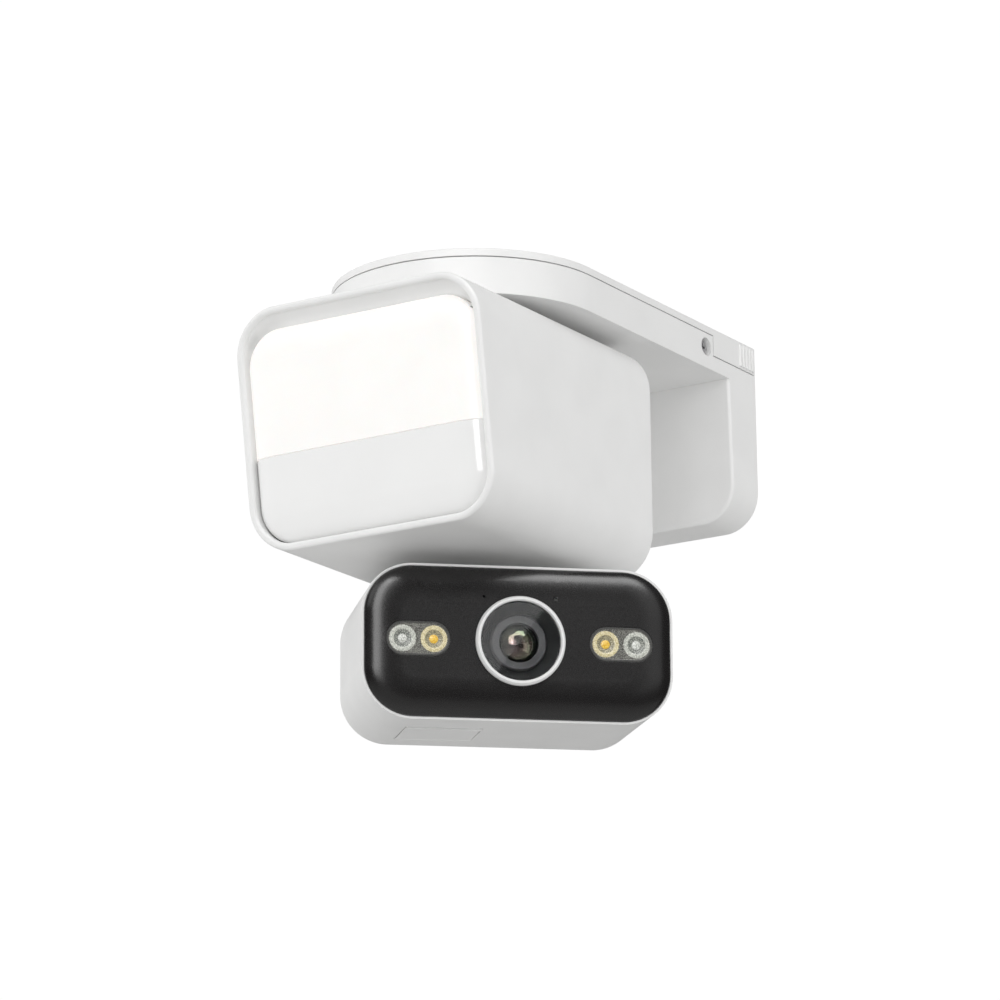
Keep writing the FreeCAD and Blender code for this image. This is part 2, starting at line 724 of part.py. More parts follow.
def speaker():
    part = body("speaker", shifted(ROW, -22, 0, -42.5, V(1, 0, 0), -90))
    turn(part, ((0.0, -92.5), (9.0, -92.5), (9.0, -88.0), (15.0, -84.0), (16.5, -84.0), (16.5, -80.35),
                (14.0, -80.35), (6.0, -83.0), (0.0, -82.0)))


def oval(radius, low, high):
    """Bar along Y with round ends, at the charging socket."""
    ends = [rod("y", radius, low, high, x, -33.0) for x in (26.2, 31.8)]
    return united(block((26.2, 31.8), (low, high), (-33.0 - radius, -33.0 + radius)), *ends)


def rear_board():
    """Small board behind the rear wall with the charging socket and the power switch."""
    socket = minus(oval(1.6, -91.0, -81.8), oval(1.25, -89.0, -80.0))
    tongue = block((26.2, 31.8), (-89.5, -82.4), (-33.35, -32.65))
    switch = united(rod("y", 2.6, -91.0, -88.0, 29.0, -49.0), rod("y", 1.2, -88.5, -85.2, 29.0, -49.0))
    node("rear_board", united(block((22.0, 36.0), (-92.4, -90.9), (-56.0, -28.5)), socket, tongue, switch))


def port_flap():
    flap = united(block((20.3, 37.7), (-79.6, -78.05), (-37.0, -28.3)), rod("x", 0.775, 20.3, 37.7,
                                                                            -78.825, -37.0),
                  block((25.4, 32.6), (-80.6, -79.5), (-33.6, -32.2)),
                  block((26.5, 31.5), (-78.1, -77.3), (-29.8, -28.8)))
    node("port_flap", flap)


def power_button():
    part = body("power_button", shifted(ROW, 29, 0, -49, V(1, 0, 0), -90))
    turn(part, ((0.0, -84.0), (2.0, -84.0), (2.0, -83.0), (6.0, -83.0), (6.0, -81.9), (4.95, -81.9), (4.95,
                                                                                                      -77.8),
                (4.35, -77.2), (0.0, -77.2)))


def button_spring():
    part = body("button_spring", shifted(ROW, 29, -83.4, -49, V(1, 0, 0), 90))
    drawing = sketch_on(part, "XZ", 0.0)
    circle(4.4, 0.0, 0.22)(drawing)
    coil = part.newObject("PartDesign::AdditiveHelix", "button_spring_coil")
    coil.Profile = drawing
    coil.ReferenceAxis = (drawing, ["V_Axis"])
    coil.Mode = 0
    coil.Pitch = 1.2
    coil.Height = 7.2
    drawing.Visibility = False
    doc.recompute()


# ================================================================ gears
def gear(name, teeth, low, high, bore, frame, phase=0.0):
    """Spur gear with straight-flanked teeth, thinned for backlash; the first gap is at +X."""
    part = body(name, shifted(frame, 0, 0, 0, V(0, 0, 1), phase))
    pitch = d.tooth * teeth / 2
    tip = pitch + d.tooth * 0.85
    root = pitch - d.tooth * 1.2
    add(part, "XY", low, high, circle(0.0, 0.0, tip))
    wide = math.pi * d.tooth.value / 2 + 0.30
    gap = polygon(((root, wide / 2 - 0.42), (tip + 0.3, wide / 2 + 0.52), (tip + 0.3, -wide / 2 - 0.52),
                   (root, -wide / 2 + 0.42)))
    around(part, cut(part, "XY", low - 0.1, high + 0.1, gap), teeth)
    if bore:
        cut(part, "XY", low - 0.1, high + 0.1, circle(0.0, 0.0, bore))
    return part


def pan_bearing():
    part = body("pan_bearing", shifted(ROW, 0, -d.pan_y.value, 0))
    inner = d.spindle + d.run
    turn(part, ((inner, -102.85), (22.0, -102.85), (22.0, -101.2), (19.0, -101.2), (19.0, -97.3), (inner,
                                                                                                   -97.3)))


def pan_motor():
    case = united(rod("z", 12.0, -89.1, -71.0, 29.1, -105.5), rod("z", 4.5, -90.6, -89.0, 29.1, -105.5),
                  minus(block((25.1, 33.1), (-126.5, -84.5), (-90.65, -89.05)),
                        rod("z", 1.6, -92.0, -88.0, 29.1, -88.5), rod("z", 1.6, -92.0, -88.0, 29.1, -122.5)))
    node("pan_motor", minus(case, rod("z", 1.56, -91.0, -84.0, 29.1, -105.5)))


def pan_pinion():
    part = gear("pan_pinion", 14, -96.4, -91.9, None, shifted(ROW, 29.1, -105.5, 0), 180.0 / 14)
    add(part, "XY", -98.5, -85.0, circle(0.0, 0.0, 1.5))


# ================================================================ neck (pan frame, tilt axis at its origin)
def neck_arm():
    part = body("neck_arm", PAN)
    half = d.neck_wide / 2
    add(part, "YZ", -half, half, circle(0.0, 0.0, d.drum))
    add(part, "XY", 0.0, 29.6, round_box(-half, half, -10.0, 10.0, 4.0))
    add(part, "XY", 29.4, 31.4, circle(0.0, 0.0, 22.0))
    add(part, "XY", 31.3, 39.9, circle(0.0, 0.0, d.spindle))
    add(part, "XY", 39.8, 48.6, circle(0.0, 0.0, 12.0))
    cut(part, "XY", 7.0, 49.0, circle(0.0, 0.0, 6.5))
    cut(part, "YZ", -13.0, 13.0, circle(0.0, 0.0, 5.02))


def pan_gear():
    gear("pan_gear", 44, 40.4, 45.4, 12.02, PAN, -YAW)


def pan_nut():
    part = body("pan_nut", PAN)
    turn(part, ((12.02, 45.5), (16.0, 45.5), (16.0, 48.3), (12.02, 48.3)))
    notch = cut(part, "XY", 45.0, 49.0, rectangle(14.8, 17.0, -1.2, 1.2))
    around(part, notch, 6)


def tilt_axle():
    axle = minus(rod("x", 5.0, -18.6, 24.3), rod("x", 3.2, -19.0, 25.0))
    node("tilt_axle", axle, PAN)


def tilt_gear():
    gear("tilt_gear", 24, 17.6, 21.6, 5.02, shifted(PAN, 0, 0, 0, V(0, 1, 0), 90), PITCH - 45.0)


# ================================================================ camera head (head frame)
def head_shell():
    half_w = d.head_wide / 2
    half_h = d.head_high / 2
    outer = doc.addObject("PartDesign::Body", "head_outer")
    add(outer, "XZ", -d.head_face, d.head_back, round_box(-half_w + 1.1, half_w - 1.1, -half_h + 1.1,
                                                          half_h - 1.1,
                                                         d.head_corner - 1.1), taper=0.99)
    soften(outer, d.head_round, lambda e: e.CenterOfMass.y > 18.4)
    inner = doc.addObject("PartDesign::Body", "head_inner")
    wall = d.head_wall + 1.1
    add(inner, "XZ", -60.0, d.head_back - d.head_wall, round_box(-half_w + wall, half_w - wall,
                                                                 -half_h + wall,
                                                                half_h - wall, d.head_corner - wall),
                                                                taper=0.99)
    soften(inner, d.head_round - d.head_wall, lambda e: e.CenterOfMass.y > 16.2)
    step = doc.addObject("PartDesign::Body", "head_step")
    lip = d.rim - 0.05
    add(step, "XZ", -50.0, -41.0, round_box(-half_w + lip, half_w - lip, -half_h + lip, half_h - lip,
                                           d.head_corner - lip))
    cup = minus(outer, inner, step)
    posts = [rod("y", 3.0, -23.8, 17.0, x, z) for x in (-44.5, 44.5) for z in (-14.0, 14.0)]
    tunnel = united(rod("x", 17.8, -14.8, 14.8), block((-14.8, 14.8), (-14.5, 17.5), (-8.8, 26.0)))
    bay = block((-39.0, -7.0), (-31.0, 0.5), (-26.0, -22.6))
    cradle = block((27.0, 39.0), (-20.6, -3.6), (-25.9, -13.5))
    inside = shared(united(*posts, tunnel, bay, cradle), outer)
    solid = united(cup, inside)
    hollow = united(rod("x", 15.8, -12.8, 12.8), block((-12.8, 12.8), (-12.6, 30.0), (-6.9, 40.0)))
    bores = united(rod("x", 7.45, -16.0, 16.0), rod("x", 8.06, 26.0, 40.0, -12.1, -12.1),
                   *[rod("y", 1.25, -24.0, -12.0, x, z) for x in (-44.5, 44.5) for z in (-14.0, 14.0)])
    recess = block((d.door_left - 0.3, d.door_right + 0.3), (d.door_front - 0.35, d.door_rear + 0.3),
                   (-30.0, -25.25))
    groove = block((d.door_left - 0.3, d.door_right + 0.3), (-5.4, d.door_rear + 0.3), (-30.0, -24.5))
    window = block((-33.0, -22.0), (-24.0, -7.5), (-26.0, -22.0))
    reset = rod("z", 1.85, -26.0, -22.0, -18.5, -15.0)
    hinge = rod("x", 0.47, -38.0, -8.0, -4.0, -26.0)
    node("head_shell", minus(solid, hollow, bores, recess, groove, window, reset, hinge), HEAD)


def front_panel():
    part = body("front_panel", HEAD)
    half_w = d.head_wide / 2 - d.rim
    half_h = d.head_high / 2 - d.rim
    radius = d.head_corner - d.rim
    front = -d.head_face - d.panel_rise
    outline = (-half_w, half_w, -half_h, half_h, radius)
    add(part, "XZ", -d.head_face, -41.9, round_box(*outline))
    stack = crown(lambda forward: sketch_on(part, "XZ", -d.head_face - forward), outline, d.panel_rise,
                  d.panel_reach)
    loft(part, stack, "AdditiveLoft")
    skin = d.panel_skin
    cut(part, "XZ", front + skin, -41.0, round_box(-half_w + 3.2, half_w - 3.2, -half_h + 3.2, half_h - 3.2,
                                                 radius - 3.2))
    windows = [round_box(s * d.spot_x - d.spot_wide / 2, s * d.spot_x + d.spot_wide / 2, -d.spot_high / 2,
                         d.spot_high / 2, d.spot_high / 2 - 0.02) for s in (-1, 1)]
    cut(part, "XZ", front - 0.5, front + skin + 0.5, circle(0.0, 0.0, d.ring_out + 0.05), *windows,
        circle(-d.dot_x, d.dot_z, 0.5), circle(d.dot_x, d.dot_z, 0.8))


def head_seal():
    part = body("head_seal", HEAD)
    add(part, "XZ", -41.8, -41.05, round_box(-53.6, 53.6, -26.3, 26.3, 16.8))
    cut(part, "XZ", -42.5, -40.5, round_box(-52.2, 52.2, -24.9, 24.9, 15.4))


def turned(name, profile):
    """Part turned about the lens axis; the profile heights are depths behind the tilt axis."""
    part = body(name, shifted(HEAD, 0, 0, 0, V(1, 0, 0), -90))
    turn(part, profile)
    return part


def lens_ring():
    turned("lens_ring", ((d.ring_in, -51.1), (d.ring_in + 0.35, -51.6), (d.ring_out - 0.6, -51.6),
                         (d.ring_out, -50.6), (d.ring_out, -47.1), (17.4, -47.1), (17.4, -45.6),
                         (d.ring_in, -45.6)))


def lens_window():
    turned("lens_window", ((0.0, -50.2), (d.ring_in - 0.05, -50.2), (d.ring_in - 0.05, -49.2), (0.0, -49.2)))


def lens_well():
    turned("lens_well", ((13.7, -49.1), (d.ring_in - 0.08, -49.1), (d.ring_in - 0.08, -44.6), (12.0, -44.0),
                         (12.0, -38.0), (d.barrel + 0.08, -38.0), (d.barrel + 0.08, -45.4)))


def lens_barrel():
    turned("lens_barrel", ((d.dome + 0.1, -46.9), (d.barrel - 0.5, -46.9), (d.barrel, -46.3), (d.barrel,
                                                                                               -33.0),
                           (12.5, -33.0), (12.5, -28.4), (7.5, -28.4), (7.5, -31.0), (6.0, -31.0), (6.0,
                                                                                                    -43.6),
                           (d.dome + 0.1, -43.6)))


def front_lens():
    lens = shared(ball(9.0, 0.0, -39.7, 0.0), rod("y", d.dome, -50.0, -43.7))
    node("front_lens", minus(lens, ball(7.5, 0.0, -36.4, 0.0)), HEAD)


def rear_lenses():
    second = shared(ball(14.0, 0.0, -28.0, 0.0), rod("y", 5.9, -43.0, -39.5))
    third = shared(ball(12.0, 0.0, -46.0, 0.0), rod("y", 5.9, -37.0, -33.0))
    node("rear_lenses", group(second, third), HEAD)


def image_sensor():
    board = block((-14.0, 14.0), (-28.3, -27.1), (-14.0, 14.0))
    node("image_sensor", united(board, block((-5.5, 5.5), (-29.8, -28.2), (-4.5, 4.5))), HEAD)


def spot_windows():
    pair = []
    for side in (-1, 1):
        x = side * d.spot_x.value
        radius = d.spot_high / 2 - 0.1
        flat = d.spot_wide / 2 - d.spot_high / 2
        plate = united(rod("y", radius, -49.3, -47.9, x - flat, 0.0), rod("y", radius, -49.3, -47.9,
                                                                          x + flat, 0.0),
                       block((x - flat, x + flat), (-49.3, -47.9), (-radius, radius)))
        pair.append(plate)
    node("spot_windows", group(*pair), HEAD)


def spot_reflectors():
    pair = []
    for side in (-1, 1):
        x = side * d.spot_x.value
        flat = 5.1
        solid = united(rod("y", 5.8, -47.8, -42.3, x - flat, 0.0), rod("y", 5.8, -47.8, -42.3, x + flat, 0.0),
                       block((x - flat, x + flat), (-47.8, -42.3), (-5.8, 5.8)))
        cups = [taper("y", 5.0, 1.7, -47.85, -42.2, x + s * d.spot_led.value, 0.0) for s in (-1, 1)]
        pair.append(minus(solid, *cups))
    node("spot_reflectors", group(*pair), HEAD)


def spot_boards():
    boards = [block((s * 35.6 - 12.0, s * 35.6 + 12.0), (-42.2, -41.0), (-6.5, 6.5)) for s in (-1, 1)]
    node("spot_boards", group(*boards), HEAD)


def spot_leds(name, offset):
    chips = []
    for side in (-1, 1):
        x = side * (d.spot_x + offset)
        chips.append(united(rod("y", 1.45, -42.9, -42.2, x, 0.0), ball(1.1, x, -43.35, 0.0)))
    node(name, group(*chips), HEAD)


def white_leds():
    spot_leds("white_leds", d.spot_led)


def warm_leds():
    spot_leds("warm_leds", -d.spot_led)


def microphone():
    """Capsule with its sound hole, behind the small hole of the black panel."""
    capsule = rod("y", 2.0, -46.9, -44.6, -d.dot_x, d.dot_z)
    node("microphone", minus(capsule, rod("y", 0.4, -47.4, -46.1, -d.dot_x, d.dot_z)), HEAD)


def status_light_pipe():
    pipe = united(rod("y", 0.72, -49.35, -46.0, d.dot_x, d.dot_z), rod("y", 1.8, -47.0, -44.5, d.dot_x,
                                                                       d.dot_z))
    node("status_light_pipe", pipe, HEAD)


def head_board():
    board = block((-48.5, 48.5), (-25.6, -24.0), (-17.8, 17.8))
    holes = [rod("y", 1.5, -26.0, -23.5, x, z) for x in (-44.5, 44.5) for z in (-14.0, 14.0)]
    chips = [block((-26.0, -12.0), (-24.1, -22.6), (2.0, 16.0)), block((18.0, 28.0), (-24.1, -22.8), (4.0,
                                                                                                      14.0))]
    node("head_board", united(minus(board, *holes), *chips), HEAD)


def board_screws():
    screws = [screw("y", 1, -27.4, 8.0, x, z, 2.6, 1.7, 1.2) for x in (-44.5, 44.5) for z in (-14.0, 14.0)]
    node("board_screws", group(*screws), HEAD)


def tilt_bushes():
    pair = []
    for side in (-1, 1):
        span = sorted((side * 12.95, side * 14.85))
        wide = sorted((side * 14.85, side * 16.8))
        bore = sorted((side * 12.0, side * 18.0))
        pair.append(minus(united(rod("x", 7.4, *span), rod("x", 8.8, *wide)), rod("x", 5.0 + d.run, *bore)))
    node("tilt_bushes", group(*pair), HEAD)


def tilt_motor():
    case = united(rod("x", 8.0, 24.9, 41.5, -12.1, -12.1), rod("x", 3.5, 23.4, 25.0, -12.1, -12.1))
    node("tilt_motor", minus(case, rod("x", 1.56, 23.0, 32.0, -12.1, -12.1)), HEAD)


def tilt_pinion():
    part = gear("tilt_pinion", 10, 17.9, 21.3, None, shifted(HEAD, 0, -12.1, -12.1, V(0, 1, 0), 90), 9.0)
    add(part, "XY", 17.3, 31.0, circle(0.0, 0.0, 1.5))


def card_reader():
    """Board above the card door with the card socket and the reset switch."""
    board = block((-35.0, -15.4), (-22.5, -6.0), (-19.2, -17.8))
    switch = block((-21.0, -16.0), (-17.5, -12.5), (-20.6, -19.1))
    socket = minus(block((-32.6, -22.4), (-22.3, -8.0), (-22.3, -19.1)),
                   block((-31.8, -23.2), (-21.0, -9.5), (-22.4, -20.0)))
    node("card_reader", united(board, switch, socket), HEAD)


def door_pin():
    node("door_pin", group(rod("x", 0.44, -37.8, -8.2, -4.0, -26.0)), HEAD)


def card_door():
    leaf = block((d.door_left, d.door_right), (d.door_front, -4.0), (-26.95, -25.45))
    knuckle = rod("x", 1.1, d.door_left, d.door_right, -4.0, -26.0)
    lip = block((d.door_left, d.door_right), (d.door_front, d.door_front + 1.3), (-27.7, -26.9))
    node("card_door", minus(united(leaf, knuckle, lip), rod("x", 0.5, -38.0, -8.0, -4.0, -26.0)), HEAD)


def reset_button():
    button = united(rod("z", 1.7, -25.1, -22.2, -18.5, -15.0), rod("z", 2.5, -22.3, -21.4, -18.5, -15.0))
    node("reset_button", button, HEAD)


BUILD = (
    wall_plate, bracket_shell, top_cover, side_screws, swivel_bush,
    light_shell, swivel_spindle, swivel_nut, body_screws, front_seal, diffuser, sensor_panel,
    reflector_tray, led_board, led_chips, heat_sink, motion_sensor, battery_cells, battery_tray, main_board,
    speaker, rear_board, port_flap, power_button, button_spring, pan_bearing, pan_motor, pan_pinion,
    neck_arm, pan_gear, pan_nut, tilt_axle, tilt_gear,
    head_shell, front_panel, head_seal, lens_ring, lens_window, lens_well, lens_barrel, front_lens,
    rear_lenses,
    image_sensor, spot_windows, spot_reflectors, spot_boards, white_leds, warm_leds, microphone,
    status_light_pipe, head_board, board_screws, tilt_bushes, tilt_motor, tilt_pinion, card_reader,
    door_pin, card_door, reset_button,
)
for make in BUILD:
    make()
doc.recompute()

for item in doc.Objects:
    if "Invalid" in item.State or "Error" in item.State:
        raise SystemExit("%s is in error" % item.Label)
os.makedirs("parts", exist_ok=True)
for old in os.listdir("parts"):
    os.remove(os.path.join("parts", old))
for item in nodes:
    shape = item.Shape
    if shape.isNull() or not shape.isValid() or not shape.Solids:
        raise SystemExit("%s has no valid solid" % item.Label)
    shape.exportStep("parts/%s.step" % item.Label)
    box = shape.BoundBox
    print("%-20s %2d solid %9.1f mm3  x %7.1f %7.1f  y %7.1f %7.1f  z %7.1f %7.1f" % (
        item.Label, len(shape.Solids), shape.Volume, box.XMin, box.XMax, box.YMin, box.YMax, box.ZMin,
        box.ZMax))
print(len(nodes), "nodes")
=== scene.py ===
"""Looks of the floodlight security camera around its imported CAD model. Lengths are in metres."""
import json
import math

import bmesh
import bpy
from mathutils import Matrix, Vector

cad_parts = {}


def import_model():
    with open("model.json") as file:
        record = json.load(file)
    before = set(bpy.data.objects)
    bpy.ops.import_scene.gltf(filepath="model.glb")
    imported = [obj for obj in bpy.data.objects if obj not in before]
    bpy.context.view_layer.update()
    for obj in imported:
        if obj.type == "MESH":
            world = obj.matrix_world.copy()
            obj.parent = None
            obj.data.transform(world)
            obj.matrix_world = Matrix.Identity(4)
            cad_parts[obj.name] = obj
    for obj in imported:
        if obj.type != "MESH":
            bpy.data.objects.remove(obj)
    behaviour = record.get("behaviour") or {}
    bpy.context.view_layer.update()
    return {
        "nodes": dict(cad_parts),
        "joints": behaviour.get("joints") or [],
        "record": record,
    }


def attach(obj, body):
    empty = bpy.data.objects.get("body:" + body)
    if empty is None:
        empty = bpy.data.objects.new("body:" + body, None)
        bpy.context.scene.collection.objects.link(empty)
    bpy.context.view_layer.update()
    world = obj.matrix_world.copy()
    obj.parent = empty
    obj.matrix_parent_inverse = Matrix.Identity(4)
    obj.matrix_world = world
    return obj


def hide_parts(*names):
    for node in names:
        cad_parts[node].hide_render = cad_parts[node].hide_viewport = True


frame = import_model()
NODES = frame["nodes"]
MM = 0.001

# The head's own frame: X along its tilt axis, Y from its face to its back, Z up, origin on the tilt axis.
TILT = next(joint for joint in frame["joints"] if joint["name"] == "tilt")
HEAD_PITCH = math.radians(2.37)
HEAD_YAW = math.atan2(TILT["axis"][1], TILT["axis"][0])
HEAD_TURN = Matrix.Rotation(HEAD_YAW, 4, "Z") @ Matrix.Rotation(HEAD_PITCH, 4, "X")
HEAD = Matrix.Translation(TILT["pos_m"]) @ HEAD_TURN


# ================================================================ shader building
class Look:
    """One procedural material around a Principled shader."""

    def __init__(self, name, **sockets):
        self.material = bpy.data.materials.new(name)
        self.material.use_nodes = True
        self.tree = self.material.node_tree
        self.main = self.tree.nodes["Principled BSDF"]
        for socket, value in sockets.items():
            self.main.inputs[socket.replace("_", " ")].default_value = value
        self.normal = None
        self.place = self.node("TexCoord").outputs["Object"]

    def node(self, kind, links=None, values=None, **settings):
        made = self.tree.nodes.new("ShaderNode" + kind)
        for key, value in settings.items():
            setattr(made, key, value)
        for key, value in (values or {}).items():
            made.inputs[key].default_value = value
        for key, source in (links or {}).items():
            self.tree.links.new(source, made.inputs[key])
        return made

    def noise(self, size, detail=3.0, roughness=0.5, stretch=(1.0, 1.0, 1.0)):
        """Noise whose features are about `size` metres across."""
        place = self.node("Mapping", {"Vector": self.place}, {"Scale": stretch}).outputs["Vector"]
        made = self.node("TexNoise", {"Vector": place},
                         {"Scale": 1.0 / size, "Detail": detail, "Roughness": roughness})
        return made.outputs["Fac"]

    def cells(self, size, feature="F1"):
        made = self.node("TexVoronoi", {"Vector": self.place}, {"Scale": 1.0 / size}, feature=feature)
        return made.outputs["Distance"]

    def spread(self, value, low, high, start=0.3, end=0.7):
        """Maps a texture's middle range to low..high."""
        made = self.node("MapRange", {"Value": value},
                         {"From Min": start, "From Max": end, "To Min": low, "To Max": high})
        return made.outputs["Result"]

    def mix(self, factor, first, second):
        """Blends two colours by a texture."""
        made = self.node("Mix", {"Factor": factor}, data_type="RGBA")
        for socket, colour in ((6, first), (7, second)):
            if isinstance(colour, bpy.types.NodeSocket):
                self.tree.links.new(colour, made.inputs[socket])
            else:
                made.inputs[socket].default_value = (*colour, 1.0)
        return made.outputs[2]

    def colour(self, factor, first, second):
        self.feed("Base Color", self.mix(factor, first, second))

    def feed(self, socket, source):
        self.tree.links.new(source, self.main.inputs[socket])

    def rounded(self, radius):
        """Softens sharp edges by `radius`, and returns a mask that is 1 along them."""
        soft = self.node("Bevel", values={"Radius": radius}, samples=4).outputs["Normal"]
        sharp = self.node("NewGeometry").outputs["Normal"]
        dot = self.node("VectorMath", {0: soft, 1: sharp}, operation="DOT_PRODUCT").outputs["Value"]
        self.normal = soft
        self.feed("Normal", soft)
        return self.spread(dot, 1.0, 0.0, 0.90, 0.998)

    def bump(self, height, depth, strength=1.0):
        """Relief `depth` metres deep."""
        made = self.node("Bump", {"Height": height}, {"Distance": depth, "Strength": strength})
        if self.normal is not None:
            self.tree.links.new(self.normal, made.inputs["Normal"])
        self.normal = made.outputs["Normal"]
        self.feed("Normal", self.normal)


def white_plastic(name, first, second, low, high, grain, depth):
    """Moulded white plastic: fine grain, faint clouding, edges rounded a little by a bevel normal, and a
    painted highlight that lightens the colour along the edges.
    """
    look = Look(name, IOR=1.48)
    edge = look.rounded(0.35 * MM)
    cloud = look.spread(look.noise(18 * MM, 2.0), 0.0, 1.0)
    body = look.mix(cloud, first, second)
    # painted highlight: the colour is lightened towards (0.90, 0.90, 0.89) along sharp edges, standing in for
    # the light a rounded edge catches
    look.feed("Base Color", look.mix(look.spread(edge, 0.0, 0.35, 0.0, 1.0), body, (0.90, 0.90, 0.89)))
    fine = look.noise(grain, 2.0, 0.6)
    look.feed("Roughness", look.spread(fine, low, high))
    look.bump(fine, depth, 0.5)
    return look


def shell_white():
    return white_plastic("shell_white", (0.80, 0.80, 0.795), (0.775, 0.775, 0.77), 0.46, 0.56, 0.35 * MM,
                         0.012 * MM).material


def gloss_white():
    look = white_plastic("gloss_white", (0.87, 0.87, 0.865), (0.855, 0.855, 0.85), 0.16, 0.22, 1.5 * MM,
                         0.004 * MM)
    look.main.inputs["Coat Weight"].default_value = 0.5
    look.main.inputs["Coat Roughness"].default_value = 0.06
    return look.material


def opal_cover():
    """Opal light cover, lit from behind by rows of LEDs."""
    look = Look("opal_cover", IOR=1.49)
    look.main.inputs["Subsurface Weight"].default_value = 0.3
    look.main.inputs["Subsurface Scale"].default_value = 3 * MM
    cloud = look.spread(look.noise(9 * MM, 2.0), 0.0, 1.0)
    look.colour(cloud, (0.56, 0.555, 0.545), (0.55, 0.545, 0.535))
    fine = look.noise(0.5 * MM, 2.0)
    look.feed("Roughness", look.spread(fine, 0.30, 0.40))
    look.feed("Emission Color", look.mix(cloud, (1.0, 0.988, 0.965), (1.0, 0.984, 0.955)))
    look.feed("Emission Strength", look.spread(look.noise(14 * MM, 1.0), 0.43, 0.45))
    look.bump(fine, 0.006 * MM, 0.4)
    return look.material


def black_panel():
    """Glossy black front with the faint texture of a hard coating."""
    look = Look("black_panel", IOR=1.5)
    edge = look.rounded(0.3 * MM)
    cloud = look.spread(look.noise(12 * MM, 2.0), 0.0, 1.0)
    body = look.mix(cloud, (0.0060, 0.0054, 0.0054), (0.0080, 0.0072, 0.0072))
    # painted highlight: the colour is lightened towards (0.03, 0.03, 0.03) along sharp edges, standing in for
    # the light a rounded edge catches
    look.feed("Base Color", look.mix(look.spread(edge, 0.0, 0.3, 0.0, 1.0), body, (0.03, 0.03, 0.03)))
    fine = look.noise(0.30 * MM, 2.0, 0.6)
    look.feed("Roughness", look.spread(fine, 0.24, 0.29))
    look.bump(fine, 0.003 * MM, 0.4)
    return look.material


def dark_plastic(name, first, second):
    look = Look(name, IOR=1.48)
    look.rounded(0.15 * MM)
    fine = look.noise(0.22 * MM, 3.0, 0.6)
    look.colour(look.spread(fine, 0.0, 1.0), first, second)
    look.feed("Roughness", look.spread(fine, 0.48, 0.62))
    look.bump(fine, 0.012 * MM, 0.6)
    return look.material


def rubber(name, first, second):
    look = Look(name, IOR=1.52)
    look.rounded(0.3 * MM)
    fine = look.noise(0.4 * MM, 4.0, 0.6)
    look.colour(look.spread(fine, 0.0, 1.0), first, second)
    look.feed("Roughness", look.spread(look.noise(3 * MM, 3.0), 0.62, 0.78))
    look.bump(fine, 0.02 * MM, 0.6)
    return look.material


def clear(name, tint, roughness, **sockets):
    """Clear glass or plastic with a few faint smears."""
    look = Look(name, Transmission_Weight=1.0, **sockets)
    smear = look.noise(4 * MM, 3.0, 0.55, (1.0, 1.0, 2.5))
    look.colour(look.spread(smear, 0.0, 1.0), tint, tuple(0.98 * part for part in tint))
    look.feed("Roughness", look.spread(smear, roughness, roughness + 0.03))
    return look


def window_glass():
    """Cover glass with an anti-reflection coating, so it mirrors little."""
    return clear("window_glass", (0.97, 0.98, 0.98), 0.0, IOR=1.22).material


def coated_lens():
    """Dark lens whose coating shows violet and green."""
    look = clear("coated_lens", (0.07, 0.06, 0.09), 0.0, IOR=1.6)
    look.main.inputs["Thin Film Thickness"].default_value = 420.0
    look.main.inputs["Thin Film IOR"].default_value = 1.75
    return look.material


def grid_cover():
    return clear("grid_cover", (0.93, 0.94, 0.93), 0.05, IOR=1.4).material


def hatched(name, dark, light, low, high):
    """Moulded cover over a lamp cup: a fine diagonal lattice, with painted highlights lightening each lattice
    cell towards its middle.
    """
    look = Look(name, IOR=1.45)
    cells = look.cells(0.42 * MM)
    # painted highlight: each lattice cell is lightened towards its middle, standing in for glints on a clear
    # moulded grid
    speck = look.mix(look.spread(cells, 1.0, 0.0, 0.15, 0.65), dark, light)
    look.feed("Base Color", look.mix(look.spread(look.noise(3 * MM), 0.0, 0.2), speck, light))
    look.feed("Roughness", look.spread(look.noise(0.6 * MM), low, high))
    look.bump(cells, 0.03 * MM, 0.5)
    return look


def metal(name, first, second, low, high, along=(1.0, 1.0, 1.0), painted_edge_highlight=0.3):
    look = Look(name, Metallic=1.0)
    edge = look.rounded(0.2 * MM)
    lines = look.noise(1.2 * MM, 4.0, 0.65, along)
    body = look.mix(look.spread(lines, 0.0, 1.0), first, second)
    # painted highlight: the colour is lightened towards (0.85, 0.85, 0.86) along sharp edges, standing in for
    # the light a rounded edge catches
    look.feed("Base Color", look.mix(look.spread(edge, 0.0, painted_edge_highlight, 0.0, 1.0), body, (0.85, 0.85, 0.86)))
    look.feed("Roughness", look.spread(lines, low, high))
    look.bump(lines, 0.006 * MM, 0.5)
    return look.material


def circuit():
    """Solder mask with tracks and pads under it."""
    look = Look("circuit", IOR=1.5)
    blocks = look.node("TexBrick", {"Vector": look.place}, {"Scale": 1.0, "Brick Width": 5 * MM,
                       "Row Height": 1.6 * MM, "Mortar Size": 0.35 * MM, "Mortar Smooth": 0.1}).outputs["Fac"]
    cloud = look.spread(look.noise(6 * MM, 2.0), 0.0, 1.0)
    base = look.mix(cloud, (0.004, 0.045, 0.020), (0.006, 0.060, 0.028))
    tracks = look.mix(blocks, base, (0.010, 0.110, 0.050))
    pads = look.spread(look.cells(2.4 * MM), 1.0, 0.0, 0.12, 0.16)
    look.feed("Base Color", look.mix(pads, tracks, (0.55, 0.52, 0.40)))
    look.feed("Roughness", look.spread(look.noise(1.0 * MM), 0.28, 0.40))
    look.bump(blocks, 0.03 * MM, 0.6)
    return look.material


def led(name, chip, glow, strength):
    look = Look(name, IOR=1.5)
    spot = look.spread(look.cells(0.9 * MM), 1.0, 0.0, 0.2, 0.5)
    look.colour(spot, chip, tuple(min(1.0, 1.15 * part) for part in chip))
    look.feed("Roughness", look.spread(look.noise(0.4 * MM), 0.12, 0.22))
    look.feed("Emission Color", look.mix(spot, glow, chip))
    look.main.inputs["Emission Strength"].default_value = strength
    return look.material


